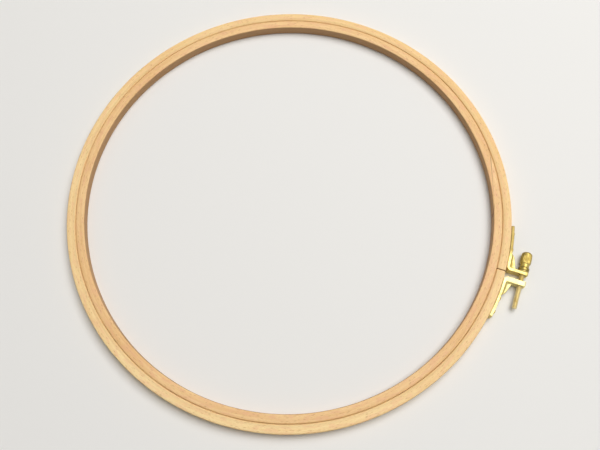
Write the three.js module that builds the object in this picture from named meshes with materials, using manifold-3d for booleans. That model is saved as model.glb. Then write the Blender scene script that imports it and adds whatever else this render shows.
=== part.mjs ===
// A wooden embroidery hoop: two concentric beech hoops lying flat, the outer one split and
// drawn together by a brass thumb screw. Millimetres, +Z up. The underside lies on z = 0 and
// the clamp points along +X.

import * as THREE from 'three';
import { mergeVertices } from 'three/addons/utils/BufferGeometryUtils.js';
import Module from 'manifold-3d';

const wasm = await Module();
wasm.setup();

// Driving dimensions: the hoops
const WORKING_DIAMETER = 304.8; // outside of the inner hoop, which is how hoops are sold
const INNER_WALL = 6.3;
const OUTER_WALL = 6.3;
const CLOTH_GAP = 0.3; // between the two hoops, where the cloth is held
const HOOP_HEIGHT = 8;
const EDGE_RADIUS = 1.1; // rounding along every edge of the hoops
const SPLIT_GAP = 0.9; // between the two ends of the outer hoop at the clamp
const BEND_GAP = 0.3; // where the two halves of the outer hoop meet, opposite the clamp

// Driving dimensions: the brass brackets
const STRIP_THICKNESS = 1.7;
const STRIP_INSET = 0.3; // the strip is narrower than the hoop by this above and below
const FLANGE_LENGTH = 34; // from the split to the far end of the flange
const KNOB_EAR_SETBACK = 1.1; // from the wood's end to the inner face of the ear under the knob
const KNOB_EAR_THICKNESS = 2.2;
const TAPPED_EAR_SETBACK = 2.65; // the same at the tapped ear, whose bracket sits further back
const TAPPED_EAR_THICKNESS = 3.5; // a block, to hold enough of the screw's thread
const EAR_BEYOND_SCREW = 3.1; // from the screw's axis to the tip of the ear
const BEND_RADIUS = 0.9; // inside of the bend between flange and ear
const GUSSET_REACH = 11.6; // from the ear's inner face to the end of the corner rib's crest
const GUSSET_END_HEIGHT = 2.2; // how far the crest's end stands off the flange
const GUSSET_END_SLOPE = 1.8; // length over which it drops to the flange
const GUSSET_TO_SCREW = 5.4; // from the rib's leg on the ear to the screw's axis
const GUSSET_WIDTH = 2.4;

// Driving dimensions: the tacks that hold the brackets
const TACK_SHANK_RADIUS = 0.7;
const TACK_HEAD_RADIUS = 1.6;
const TACK_HEAD_HEIGHT = 0.8;
const TACK_TIP_COVER = 1.7; // wood left past the tip
const TACK_FROM_GUSSET = 2.4; // from the rib's foot to the first tack
const TACK_FROM_END = 5; // from the second tack to the flange's end

// Driving dimensions: the clamp screw
const SCREW_OUT = 12.1; // from the outer hoop's face to the screw's axis
const ROD_RADIUS = 1.75;
const ROD_TAIL = 16.1; // what shows past the tapped ear
const ROD_CHAMFER = 0.5;
const KNOB_TABLE_GAP = 0.2; // under the knob when the hoop lies flat
const KNOB_BEVEL = 0.4;
const COLLAR_LENGTH = 2.1; // the plain collar at the knob's base
const WAIST_LENGTH = 3.1; // the groove between the collar and the head
const WAIST_DEPTH = 0.7;
const HEAD_LENGTH = 6.7; // the knurled head, up to the dome
const DOME_HEIGHT = 2.2;
const KNOB_END_THICKNESS = 3.3; // metal between the bore's end and the top of the dome
const KNURL_DEPTH = 0.28;
const KNURL_PITCH = 1; // from ridge to ridge round the knob, about
const WASHER_INSET = 0.3; // the washer is smaller than the knob by this in radius
const WASHER_THICKNESS = 0.8;

// Clearances
const SEAT_GAP = 0.3; // between pieces that touch on the real hoop
const BORE_CLEARANCE = 0.3; // round a shank in its hole
const ARC_CLEARANCE = 0.6; // round the rod in the ear that swings with the outer hoop

// Fineness
const RING_FACETS = 120;
const CORNER_STEPS = 2;
const ROUND_SIDES = 24;
const SMALL_SIDES = 10;
const ARC_STEPS = 5;

// Sizes that follow from the ones above
const innerHoopOutside = WORKING_DIAMETER / 2;
const outerHoopInside = innerHoopOutside + CLOTH_GAP;
const outerHoopOutside = outerHoopInside + OUTER_WALL;
const middleHeight = HOOP_HEIGHT / 2;
const screwX = outerHoopOutside + SCREW_OUT;
const stripHeight = HOOP_HEIGHT - 2 * STRIP_INSET;
const flangeInside = outerHoopOutside + SEAT_GAP;
const flangeOutside = flangeInside + STRIP_THICKNESS;
const earTip = screwX + EAR_BEYOND_SCREW;
const knobEar = earFaces(KNOB_EAR_SETBACK, KNOB_EAR_THICKNESS);
const tappedEar = earFaces(TAPPED_EAR_SETBACK, TAPPED_EAR_THICKNESS);
const gussetEnd = screwX - GUSSET_TO_SCREW;
const tackTip = outerHoopInside + TACK_TIP_COVER;
const tackHeadBase = flangeOutside + SEAT_GAP;
const knobRadius = middleHeight - KNOB_TABLE_GAP;
const knurlRidges = Math.round((2 * Math.PI * knobRadius) / KNURL_PITCH);
const washerBase = knobEar.outer + SEAT_GAP;
const knobBase = washerBase + WASHER_THICKNESS + SEAT_GAP;
const knobTop = knobBase + COLLAR_LENGTH + WAIST_LENGTH + HEAD_LENGTH + DOME_HEIGHT;
const knobBoreEnd = knobTop - KNOB_END_THICKNESS;
const rodTail = -(tappedEar.outer + ROD_TAIL);
const rodTop = knobBoreEnd - SEAT_GAP;
const boreRadius = ROD_RADIUS + BORE_CLEARANCE;

// The origin is the middle of the whole part's outline, so the hoops sit a little to -X of it.
const clampReach = Math.max(earTip, screwX + knobRadius);
const hoopCentreX = (outerHoopOutside - clampReach) / 2;

// The two sides of the clamp; side is +1 for the half towards +Y and -1 for the other
const sides = [
  { name: 'tapped_side', side: -1, ear: tappedEar, earHole: boreRadius },
  { name: 'knob_side', side: 1, ear: knobEar, earHole: ROD_RADIUS + ARC_CLEARANCE },
];

const woodInner = new THREE.MeshStandardMaterial({ color: 0xf0c898, roughness: 0.6, metalness: 0 });
const woodOuter = new THREE.MeshStandardMaterial({ color: 0xf2cc94, roughness: 0.6, metalness: 0 });
const brass = new THREE.MeshStandardMaterial({ color: 0xd9bd5a, roughness: 0.3, metalness: 1 });

// An ear's faces, as distances from the middle of the split, and the places that follow from them
function earFaces(setback, thickness) {
  const inner = SPLIT_GAP / 2 + setback;
  const outer = inner + thickness;
  const crestEnd = inner + GUSSET_REACH;
  const gussetFoot = crestEnd + GUSSET_END_SLOPE;
  const tackDistances = [gussetFoot + TACK_FROM_GUSSET, FLANGE_LENGTH - TACK_FROM_END];
  return { inner, outer, crestEnd, gussetFoot, tackDistances };
}

// A closed geometry as a solid that can be cut, and back again
function solid(geometry) {
  const bare = geometry.clone();
  bare.deleteAttribute('normal');
  bare.deleteAttribute('uv');
  const merged = mergeVertices(bare, 1e-4);
  return new wasm.Manifold(
    new wasm.Mesh({
      numProp: 3,
      vertProperties: new Float32Array(merged.attributes.position.array),
      triVerts: new Uint32Array(merged.index.array),
    }),
  );
}

function geometryOf(manifold) {
  const mesh = manifold.getMesh();
  const geometry = new THREE.BufferGeometry();
  geometry.setAttribute('position', new THREE.BufferAttribute(mesh.vertProperties, mesh.numProp));
  geometry.setIndex(new THREE.BufferAttribute(mesh.triVerts, 1));
  geometry.computeVertexNormals();
  return geometry;
}

function piece(name, geometry, material) {
  const mesh = new THREE.Mesh(geometry, material);
  mesh.name = name;
  return mesh;
}

// A cylinder along Y, from one height to another, on the line through (x, z)
function cylinderAlongY(radius, from, to, x, z, sides) {
  const geometry = new THREE.CylinderGeometry(radius, radius, to - from, sides);
  geometry.translate(x, (from + to) / 2, z);
  return geometry;
}

function boxBetween(low, high) {
  const size = high.map((value, i) => value - low[i]);
  const geometry = new THREE.BoxGeometry(...size);
  geometry.translate(...low.map((value, i) => value + size[i] / 2));
  return geometry;
}

// A whole hoop: a rectangle with rounded corners, turned about Z
function wholeHoop(inside, outside) {
  const corners = [
    [outside - EDGE_RADIUS, EDGE_RADIUS, -Math.PI / 2],
    [outside - EDGE_RADIUS, HOOP_HEIGHT - EDGE_RADIUS, 0],
    [inside + EDGE_RADIUS, HOOP_HEIGHT - EDGE_RADIUS, Math.PI / 2],
    [inside + EDGE_RADIUS, EDGE_RADIUS, Math.PI],
  ];
  const profile = [];
  for (const [x, y, start] of corners) {
    for (let step = 0; step <= CORNER_STEPS; step++) {
      const angle = start + (Math.PI / 2) * (step / CORNER_STEPS);
      profile.push(new THREE.Vector2(x + EDGE_RADIUS * Math.cos(angle), y + EDGE_RADIUS * Math.sin(angle)));
    }
  }
  profile.push(profile[0].clone());
  const geometry = new THREE.LatheGeometry(profile, RING_FACETS);
  geometry.rotateX(Math.PI / 2);
  return geometry;
}

// The points of a dome above its rim, up to its top on the axis
function dome(radius, base, height) {
  const points = [];
  for (let step = 1; step <= CORNER_STEPS; step++) {
    const angle = (Math.PI / 2) * (step / (CORNER_STEPS + 1));
    points.push(new THREE.Vector2(radius * Math.cos(angle), base + height * Math.sin(angle)));
  }
  points.push(new THREE.Vector2(0, base + height));
  return points;
}

// A tack's place on the hoop: its angle from the split, on the side that it is on
function tackAngle(side, distance) {
  return side * (distance / outerHoopOutside);
}

// A tack, domed head outwards, driven towards the hoop's axis
function tack(side, distance) {
  const pointLength = 2 * TACK_SHANK_RADIUS;
  const profile = [
    new THREE.Vector2(0, tackTip),
    new THREE.Vector2(TACK_SHANK_RADIUS, tackTip + pointLength),
    new THREE.Vector2(TACK_SHANK_RADIUS, tackHeadBase),
    new THREE.Vector2(TACK_HEAD_RADIUS, tackHeadBase),
    ...dome(TACK_HEAD_RADIUS, tackHeadBase, TACK_HEAD_HEIGHT),
  ];
  const geometry = new THREE.LatheGeometry(profile, SMALL_SIDES);
  geometry.rotateZ(-Math.PI / 2);
  geometry.rotateZ(tackAngle(side, distance));
  geometry.translate(0, 0, middleHeight);
  return geometry;
}

// The space that a tack's shank needs, through the flange and into the wood
function tackHole(side, distance) {
  const radius = TACK_SHANK_RADIUS + BORE_CLEARANCE;
  const geometry = cylinderAlongY(radius, tackTip - SEAT_GAP, tackHeadBase, 0, 0, SMALL_SIDES);
  geometry.rotateZ(-Math.PI / 2);
  geometry.rotateZ(tackAngle(side, distance));
  geometry.translate(0, 0, middleHeight);
  return solid(geometry);
}

function cutTackHoles(body, { side, ear }) {
  return ear.tackDistances.reduce((rest, distance) => rest.subtract(tackHole(side, distance)), body);
}

function outerHoopHalf(half) {
  const { side } = half;
  const margin = 10;
  const far = outerHoopOutside + margin;
  const top = HOOP_HEIGHT + margin;
  const cutAtSplit = [-side * far, (side * SPLIT_GAP) / 2].sort((a, b) => a - b);
  const cutAtBend = [-side * far, (side * BEND_GAP) / 2].sort((a, b) => a - b);
  const wood = solid(wholeHoop(outerHoopInside, outerHoopOutside))
    .subtract(solid(boxBetween([-margin, cutAtSplit[0], -margin], [far, cutAtSplit[1], top])))
    .subtract(solid(boxBetween([-far, cutAtBend[0], -margin], [margin, cutAtBend[1], top])));
  return geometryOf(cutTackHoles(wood, half));
}

// Outline of a bracket seen from above: the flange along the hoop, the bend and the ear. Each of
// its two long faces runs along the flange, round the bend and out to the ear's tip.
function bracketOutline({ side, ear }) {
  const endAngle = FLANGE_LENGTH / outerHoopOutside;
  const face = (flangeRadius, bendRadius, earFace) => {
    const bendY = earFace + bendRadius;
    const bendX = Math.sqrt(flangeRadius * flangeRadius - bendY * bendY) + bendRadius;
    const lastAngle = Math.asin((bendY + BEND_RADIUS / 2) / flangeRadius);
    const points = [];
    for (let step = 0; step <= ARC_STEPS; step++) {
      const angle = endAngle + (lastAngle - endAngle) * (step / ARC_STEPS);
      points.push([flangeRadius * Math.cos(angle), flangeRadius * Math.sin(angle)]);
    }
    for (let step = 0; step <= CORNER_STEPS + 1; step++) {
      const angle = Math.PI * (1 + step / (2 * CORNER_STEPS + 2));
      points.push([bendX + bendRadius * Math.cos(angle), bendY + bendRadius * Math.sin(angle)]);
    }
    points.push([earTip, earFace]);
    return points;
  };
  const onWood = face(flangeInside, BEND_RADIUS + STRIP_THICKNESS, ear.inner);
  const outside = face(flangeOutside, BEND_RADIUS, ear.outer);
  const outline = new THREE.Shape();
  [...onWood, ...outside.reverse()].forEach(([x, y], i) => {
    if (i) outline.lineTo(x, side * y);
    else outline.moveTo(x, side * y);
  });
  outline.closePath();
  return outline;
}

// The pressed rib across the corner between flange and ear, with a blunt end on the flange
function gusset({ side, ear }) {
  const inStrip = STRIP_THICKNESS / 2;
  const buried = flangeOutside - inStrip;
  const crest = flangeOutside + GUSSET_END_HEIGHT;
  const outline = new THREE.Shape();
  const lineToCircle = (radius, y) => outline.lineTo(Math.sqrt(radius * radius - y * y), side * y);
  outline.moveTo(buried, side * (ear.outer - inStrip));
  outline.lineTo(gussetEnd, side * (ear.outer - inStrip));
  outline.lineTo(gussetEnd, side * ear.outer);
  lineToCircle(crest, ear.crestEnd);
  lineToCircle(flangeOutside, ear.gussetFoot);
  lineToCircle(buried, ear.gussetFoot);
  outline.closePath();
  const geometry = new THREE.ExtrudeGeometry(outline, { depth: GUSSET_WIDTH, bevelEnabled: false });
  geometry.translate(0, 0, middleHeight - GUSSET_WIDTH / 2);
  return geometry;
}

function bracket(half) {
  const strip = new THREE.ExtrudeGeometry(bracketOutline(half), { depth: stripHeight, bevelEnabled: false });
  strip.translate(0, 0, STRIP_INSET);
  const reach = half.ear.outer + STRIP_THICKNESS;
  const hole = cylinderAlongY(half.earHole, -reach, reach, screwX, middleHeight, ROUND_SIDES);
  const body = solid(strip).add(solid(gusset(half))).subtract(solid(hole));
  return geometryOf(cutTackHoles(body, half));
}

// A turned piece on the screw's axis, from a profile of [radius, y] points. Every other side is
// cut in at the points listed in ridged, which makes the straight ridges of a knurl.
function turned(points, sides, ridged = []) {
  const profile = points.map(([radius, y]) => new THREE.Vector2(radius, y));
  const geometry = new THREE.LatheGeometry(profile, sides);
  const position = geometry.attributes.position;
  for (let i = 0; i < position.count; i++) {
    const column = Math.floor(i / points.length) % sides;
    const point = points[i % points.length];
    if (column % 2 === 1 && ridged.includes(point)) {
      const shrink = (point[0] - KNURL_DEPTH) / point[0];
      position.setX(i, position.getX(i) * shrink);
      position.setZ(i, position.getZ(i) * shrink);
    }
  }
  geometry.translate(screwX, 0, middleHeight);
  return geometry;
}

function threadedRod() {
  return turned(
    [
      [0, rodTail],
      [ROD_RADIUS - ROD_CHAMFER, rodTail],
      [ROD_RADIUS, rodTail + ROD_CHAMFER],
      [ROD_RADIUS, rodTop - ROD_CHAMFER],
      [ROD_RADIUS - ROD_CHAMFER, rodTop],
      [0, rodTop],
    ],
    ROUND_SIDES,
  );
}

// The thumb knob: a blind bore for the rod, a plain collar, a waist and a knurled head with a
// domed end
function thumbKnob() {
  const waist = knobBase + COLLAR_LENGTH;
  const head = waist + WAIST_LENGTH;
  const domeBase = head + HEAD_LENGTH;
  const waistSlope = WAIST_LENGTH / 4;
  const ridged = [
    [knobRadius, head],
    [knobRadius, domeBase],
  ];
  const points = [
    [0, knobBoreEnd],
    [boreRadius, knobBoreEnd],
    [boreRadius, knobBase],
    [knobRadius - KNOB_BEVEL, knobBase],
    [knobRadius, knobBase + KNOB_BEVEL],
    [knobRadius, waist],
    [knobRadius - WAIST_DEPTH, waist + waistSlope],
    [knobRadius - WAIST_DEPTH, head - waistSlope],
    ...ridged,
    ...dome(knobRadius, domeBase, DOME_HEIGHT).map(({ x, y }) => [x, y]),
  ];
  return turned(points, 2 * knurlRidges, ridged);
}

function washer() {
  const top = washerBase + WASHER_THICKNESS;
  const radius = knobRadius - WASHER_INSET;
  const disc = cylinderAlongY(radius, washerBase, top, screwX, middleHeight, ROUND_SIDES);
  const hole = cylinderAlongY(boreRadius, 0, 2 * top, screwX, middleHeight, ROUND_SIDES);
  return geometryOf(solid(disc).subtract(solid(hole)));
}

const hoop = new THREE.Group();
hoop.position.x = hoopCentreX;

hoop.add(piece('inner_hoop', wholeHoop(innerHoopOutside - INNER_WALL, innerHoopOutside), woodInner));

for (const half of sides) {
  hoop.add(piece(`outer_hoop_${half.name}`, outerHoopHalf(half), woodOuter));
  hoop.add(piece(`${half.name}_bracket`, bracket(half), brass));
  half.ear.tackDistances.forEach((distance, i) => {
    hoop.add(piece(`${half.name}_tack_${i + 1}`, tack(half.side, distance), brass));
  });
}

hoop.add(piece('washer', washer(), brass));
hoop.add(piece('threaded_rod', threadedRod(), brass));
hoop.add(piece('thumb_knob', thumbKnob(), brass));

export default hoop;
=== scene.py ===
# A wooden embroidery hoop lying flat: two beech hoops, brass clamp brackets and a thumb screw.
# Every piece is in metres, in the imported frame. Sizes here are in millimetres, from the middle of
# the hoops' underside. They follow the solids, closed up where real pieces touch and the solids
# keep a small gap, and a little finer at the hoops' edges and the knob's ridges.

import math

import bmesh
import bpy
import numpy as np
from mathutils import Matrix, Vector


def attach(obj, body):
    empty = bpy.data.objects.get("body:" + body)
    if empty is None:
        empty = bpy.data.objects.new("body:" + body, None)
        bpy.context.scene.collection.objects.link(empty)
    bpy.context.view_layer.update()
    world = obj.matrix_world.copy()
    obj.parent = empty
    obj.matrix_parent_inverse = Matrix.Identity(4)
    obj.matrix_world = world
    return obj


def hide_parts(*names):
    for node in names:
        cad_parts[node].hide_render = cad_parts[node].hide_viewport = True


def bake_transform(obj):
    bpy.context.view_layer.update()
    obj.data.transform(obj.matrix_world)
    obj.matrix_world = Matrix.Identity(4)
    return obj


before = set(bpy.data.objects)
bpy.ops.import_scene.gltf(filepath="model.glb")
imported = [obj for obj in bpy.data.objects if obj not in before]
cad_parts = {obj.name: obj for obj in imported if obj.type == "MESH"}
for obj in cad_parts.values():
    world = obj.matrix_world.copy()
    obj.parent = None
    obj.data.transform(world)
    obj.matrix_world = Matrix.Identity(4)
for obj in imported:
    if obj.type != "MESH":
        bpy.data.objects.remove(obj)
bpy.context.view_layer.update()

MM = 0.001

# Sizes of the hoops
HOOP_CENTRE_X = -7.95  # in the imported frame
INNER_HOOP = (146.1, 152.53)  # inside and outside radius
OUTER_HOOP = (152.57, 159.0)
STRIP_MIDDLE = sum(OUTER_HOOP) / 2
HOOP_HEIGHT = 8.0
MIDDLE_HEIGHT = HOOP_HEIGHT / 2
EDGE_RADIUS = 0.95
EDGE_STEPS = 6
SPLIT_GAP = 0.4
SPLIT_ROUNDING = 0.5
HOOP_SECTIONS = 720
SCARF_MIDDLE = 25.0  # degrees round from the clamp
SCARF_LENGTH = 52.0  # along the strip, about eight times its thickness
SCARF_SPREAD = 0.15  # the share of the hoop over which its sections turn square from the scarf
GLUE_GROOVE = 0.06  # depth
SANDING = 0.02  # the share of the section that hand sanding takes off in places
SANDED_PATCH = 26.0

# Sizes of the brass brackets
STRIP_THICKNESS = 1.7
STRIP_HEIGHT = 7.4
STRIP_EDGE = 0.25
FLANGE_INSIDE, FLANGE_OUTSIDE = 159.3, 161.0
FLANGE_SEAT = 0.27  # the flange reaches this much further in, to lie on the wood
FLANGE_LENGTH = 34.0
FLANGE_CORNER = 0.7
KNOB_EAR = (1.55, 3.75)  # both faces, from the middle of the split
TAPPED_EAR = (3.1, 6.6)
EAR_TIP = 174.2
EAR_CORNER = 1.2
BEND_RADIUS = 0.9
RIB_REACH = 11.6  # from the ear's inner face to the end of the rib's crest
RIB_END_HEIGHT = 2.2
RIB_END_SLOPE = 1.8
RIB_END_X = 165.7
RIB_HALF_WIDTH = 1.2
RIB_LIP = 0.45
RIB_TOP = 3.1  # where the rib's hollow sides leave the strip, above and below its middle

# Sizes of the screw and what sits on it
SCREW_X = 171.1
SCREW_AXIS = ((SCREW_X + HOOP_CENTRE_X) * MM, 0.0, MIDDLE_HEIGHT * MM)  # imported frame, metres
ROD_RADIUS = 1.75
ROD_TAIL = -22.7
ROD_TOP = 15.65
ROD_CHAMFER = 0.5
THREAD_PITCH = 0.79375
THREAD_DEPTH = 0.42
WASHER_RADIUS = 3.5
WASHER_FROM, WASHER_TO = 3.92, 4.98
WASHER_HOLE = 1.85
WASHER_EASE = 0.15  # the rounding of its edges
TAPPED_HOLE = 1.8
PLAIN_HOLE = 2.35
HOLE_EASE = 0.2
KNOB_RADIUS = 3.8
KNOB_BASE, KNOB_TOP = 5.02, 19.25
BORE_GAP = 0.1  # between the rod and the knob's bore
BORE_SPARE = 0.3  # how much deeper the bore is than the rod reaches
BORE_EASE = 0.2
COLLAR_RADIUS = KNOB_RADIUS - 0.05
COLLAR_TOP = 7.25
COLLAR_EASE = 0.35
WAIST_DEPTH = 0.7
WAIST_STEP = 0.25  # how far below the knob's radius the waist ends
HEAD_FROM, HEAD_TO = 10.35, 17.05
HEAD_STEP = 0.1  # how far along the waist's ends are from the collar and the head
HEAD_SWELL, SWELL_SHARE = 0.14, 0.25  # what the head gains over the first share of its length
HEAD_TAPER, TAPER_FROM = 0.16, 0.35  # what it loses, and the share at which that starts
RIDGES = 24
RIDGE_DEPTH = 0.2

# Sizes of the tacks
FIRST_TACK_FROM_EAR = 15.8
SECOND_TACK = 29.0  # along the outside of the outer hoop from the split
TACK_SEAT = 161.0
TACK_HEAD_RADIUS = 1.6
TACK_HEAD_HEIGHT = 1.1
TACK_RIM = 0.24  # the height of the head's straight side
TACK_EASE = (0.12, 0.1)  # how far the head's lower edge is cut back, inwards and up
TACK_SHANK_RADIUS = 0.7
TACK_TIP = 154.4
TACK_POINT = 1.6  # length


def linear(code):
    """An sRGB hex colour as linear red, green, blue and alpha."""
    values = [int(code[i : i + 2], 16) / 255 for i in (0, 2, 4)]
    return [v / 12.92 if v <= 0.04045 else ((v + 0.055) / 1.055) ** 2.4 for v in values] + [1.0]


def add_node(tree, kind, *values, named=None, **settings):
    """Adds a node with its settings and links. values fill its inputs in order and named its inputs
    by name. A value may be a socket, or a node, which stands for its first output in use."""
    node = tree.nodes.new(kind)
    for key, value in settings.items():
        setattr(node, key, value)
    sockets = [(node.inputs[i], value) for i, value in enumerate(values)]
    for key, value in (named or {}).items():
        sockets.append((next(s for s in node.inputs if s.name == key and s.enabled), value))
    for socket, value in sockets:
        if isinstance(value, bpy.types.Node):
            value = next(s for s in value.outputs if s.enabled)
        if isinstance(value, bpy.types.NodeSocket):
            tree.links.new(value, socket)
        else:
            socket.default_value = value
    return node


MATH = "ShaderNodeMath"
VECTOR = "ShaderNodeVectorMath"
RANGE = "ShaderNodeMapRange"
SMOOTH = {"interpolation_type": "SMOOTHSTEP"}  # makes a Map Range start and end gently
MIX = "ShaderNodeMix"
NOISE = "ShaderNodeTexNoise"
SEPARATE = "ShaderNodeSeparateXYZ"
COMBINE = "ShaderNodeCombineXYZ"
STORE = "GeometryNodeStoreNamedAttribute"


# Finishes


def new_finish(name):
    """A material and its empty tree."""
    material = bpy.data.materials.new(name)
    material.use_nodes = True
    material.node_tree.nodes.clear()
    return material, material.node_tree


def end_finish(tree, base, layers, roughness, relief, strength, depth, metallic=0.0):
    """Ends a finish. layers holds pairs of a share and the colour that it lays over those before,
    from the base up. relief is the surface's height, as a share of depth millimetres."""
    colour = linear(base)
    for share, other in layers:
        named = {"Factor": share, "A": colour, "B": linear(other)}
        colour = add_node(tree, MIX, named=named, data_type="RGBA")
    named = {"Height": relief, "Strength": strength, "Distance": depth * MM}
    bump = add_node(tree, "ShaderNodeBump", named=named)
    named = {"Base Color": colour, "Metallic": metallic, "Roughness": roughness, "Normal": bump}
    shader = add_node(tree, "ShaderNodeBsdfPrincipled", named=named)
    add_node(tree, "ShaderNodeOutputMaterial", shader)


def stretched(tree, kind, place, size, named=None, **settings):
    """A texture on place, in millimetres, whose features are about size millimetres each way."""
    mapping = add_node(tree, "ShaderNodeMapping", place, named={"Scale": [1 / s for s in size]})
    named = {"Vector": mapping, "Scale": 1.0, **(named or {})}
    return add_node(tree, kind, named=named, **settings)


def beech_finish(
    name, pale, deep, fleck, blush, groove=None, inside=None, darkest=None, end_grain=False
):
    """Steamed beech, bent, sanded and left bare. The eye sees fine straight grain along the strip,
    short brown ray flecks, soft bands of paler and pinker wood, and a dull, slightly open surface.
    blush is the colour of its pinker patches. groove is the two distances across the strip, from
    its middle, between which a painted shade darkens it towards the other hoop, standing in for the
    shade of the crease between the hoops, with the sign of their side.
    inside is the colour of painted shade on the hoop's inside face.
    darkest is where the board that the strip was cut from is darkest, in degrees round the hoop."""
    material, tree = new_finish(name)
    strip = add_node(tree, "ShaderNodeAttribute", attribute_name="strip").outputs["Vector"]
    place = add_node(tree, VECTOR, strip, named={"Scale": 1 / MM}, operation="SCALE")

    # Growth bands 3 mm apart, drifting slowly out of line with the strip over some 10 cm
    drift = stretched(tree, NOISE, place, (110, 14, 14), {"Detail": 2.0, "Roughness": 0.45})
    phase = add_node(tree, MATH, drift, 26.0, operation="MULTIPLY")
    named = {"Rotation": (0.6, 0, 0), "Scale": (0.001, 0.105, 0.105)}
    band_place = add_node(tree, "ShaderNodeMapping", place, named=named)
    named = {"Vector": band_place, "Scale": 1.0, "Phase Offset": phase}
    settings = {"bands_direction": "Y", "wave_profile": "SAW"}
    bands = add_node(tree, "ShaderNodeTexWave", named=named, **settings)
    # Fibre, drawn coarser than it is so that it shows: about a quarter of a millimetre across and
    # some millimetres long
    fibre_size = (0.4, 0.28, 0.28) if end_grain else (10.0, 0.3, 0.3)
    fibre = stretched(tree, NOISE, place, fibre_size, {"Detail": 3.0, "Roughness": 0.6})
    # Ray flecks, about 2 mm long and a third of a millimetre wide
    fleck_size = (0.6, 0.7, 0.7) if end_grain else (3.6, 0.62, 0.75)
    rays = stretched(tree, "ShaderNodeTexVoronoi", place, fleck_size, feature="F1")
    in_fleck = add_node(tree, RANGE, rays.outputs["Distance"], 0.18, 0.36, 1.0, 0.0, **SMOOTH)
    shows = add_node(tree, RANGE, rays.outputs["Color"], 0.3, 0.75)
    flecks = add_node(tree, MATH, in_fleck, shows, operation="MULTIPLY")
    # Open pores, drawn a little wider than they are: a tenth of a millimetre, and a millimetre long
    pore_noise = stretched(tree, NOISE, place, (1.3, 0.11, 0.11), {"Detail": 1.0})
    pores = add_node(tree, RANGE, pore_noise, 0.6, 0.72, **SMOOTH)
    # Slow changes of tone along the strip
    clouds = stretched(tree, NOISE, place, (48, 7, 7), {"Detail": 3.0, "Roughness": 0.55})

    tone = add_node(tree, MATH, bands, 0.22, -0.11, operation="MULTIPLY_ADD")
    tone = add_node(tree, MATH, fibre, 0.6, tone, operation="MULTIPLY_ADD")
    tone = add_node(tree, MATH, clouds, 0.9, tone, operation="MULTIPLY_ADD")
    along, across, _ = add_node(tree, SEPARATE, place).outputs
    if darkest is not None:
        # One slow change of tone round the whole hoop
        phase = math.pi / 2 - math.radians(darkest)
        around = add_node(tree, MATH, along, 1 / STRIP_MIDDLE, phase, operation="MULTIPLY_ADD")
        around = add_node(tree, MATH, around, operation="SINE")
        tone = add_node(tree, MATH, around, 0.2, tone, operation="MULTIPLY_ADD")
    tone = add_node(tree, RANGE, tone, 0.4, 1.1)
    # Pinker patches, a few millimetres long, where the steam has coloured the wood unevenly
    patches = stretched(tree, NOISE, place, (7.0, 2.4, 2.4), {"Detail": 2.0, "Roughness": 0.5})
    patches = add_node(tree, RANGE, patches, 0.46, 0.66, 0.0, 0.5, **SMOOTH)
    fleck_share = add_node(tree, MATH, flecks, 0.6, operation="MULTIPLY")
    pore_share = add_node(tree, MATH, pores, 0.3, operation="MULTIPLY")
    layers = [(tone, deep), (patches, blush), (fleck_share, fleck), (pore_share, fleck)]
    if groove:
        # Painted shade in the crease between the hoops: the strip darkens towards the other hoop
        painted_groove_shade = add_node(tree, RANGE, across, *groove, 0.0, 0.34, **SMOOTH)
        layers.append((painted_groove_shade, "DCB47A"))
    if inside:
        # Painted shade on the inside face and a little of the edges beside it
        painted_inside_shade = add_node(tree, RANGE, across, -3.15, -2.6, 0.85, 0.0, **SMOOTH)
        layers.append((painted_inside_shade, inside))
    # The glue line where the scarfed ends meet. A scarf of one in eight makes it an eighth as wide
    # across as the distance along the strip.
    joint = add_node(tree, "ShaderNodeAttribute", attribute_name="joint").outputs["Fac"]
    joint = add_node(tree, MATH, joint, 1 / MM, operation="MULTIPLY")
    glue = add_node(tree, RANGE, joint, 0.6, 1.9, 0.6, 0.0, **SMOOTH)
    layers.append((glue, "8A5A34"))
    rough = add_node(tree, RANGE, fibre, 0.3, 0.7, 0.54, 0.7)
    relief = add_node(tree, MATH, pores, -1.2, fibre, operation="MULTIPLY_ADD")
    relief = add_node(tree, MATH, flecks, 0.25, relief, operation="MULTIPLY_ADD")
    end_finish(tree, pale, layers, rough, relief, strength=0.6, depth=0.04)
    return material


def brass_finish(name, pale, deep, roughness, line_size, *changes):
    """Yellow brass dulled by handling, with blurred reflections and duller patches. line_size is
    the size in millimetres, each way, of the fine lines that its making left, drawn coarser than
    they are so that they show. Each of changes holds an axis, X along a bracket's strip from the
    flange's end or Y along the screw, two places, the share of another colour at each place, and
    that colour."""
    material, tree = new_finish(name)
    if changes and changes[0][0] == "X":
        source = add_node(tree, "ShaderNodeAttribute", attribute_name="strip").outputs["Vector"]
    else:
        source = add_node(tree, "ShaderNodeTexCoord").outputs["Object"]
    place = add_node(tree, VECTOR, source, named={"Scale": 1 / MM}, operation="SCALE")
    lines = stretched(tree, NOISE, place, line_size, {"Detail": 2.0})
    # Handling marks: patches a few millimetres wide where the brass has dulled
    dull = stretched(tree, NOISE, place, (2.6, 2.2, 2.2), {"Detail": 4.0, "Roughness": 0.6})
    dull = add_node(tree, RANGE, dull, 0.36, 0.7)
    rough = add_node(tree, MATH, lines, 0.22, roughness - 0.11, operation="MULTIPLY_ADD")
    rough = add_node(tree, MATH, dull, 0.1, rough, operation="MULTIPLY_ADD")
    layers = [(dull, deep)]
    for axis, *places_and_shares, other in changes:
        along = add_node(tree, SEPARATE, place).outputs[axis]
        share = add_node(tree, RANGE, along, *places_and_shares, **SMOOTH)
        layers.append((share, other))
    end_finish(tree, pale, layers, rough, lines, strength=0.4, depth=0.02, metallic=1.0)
    return material


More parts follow.
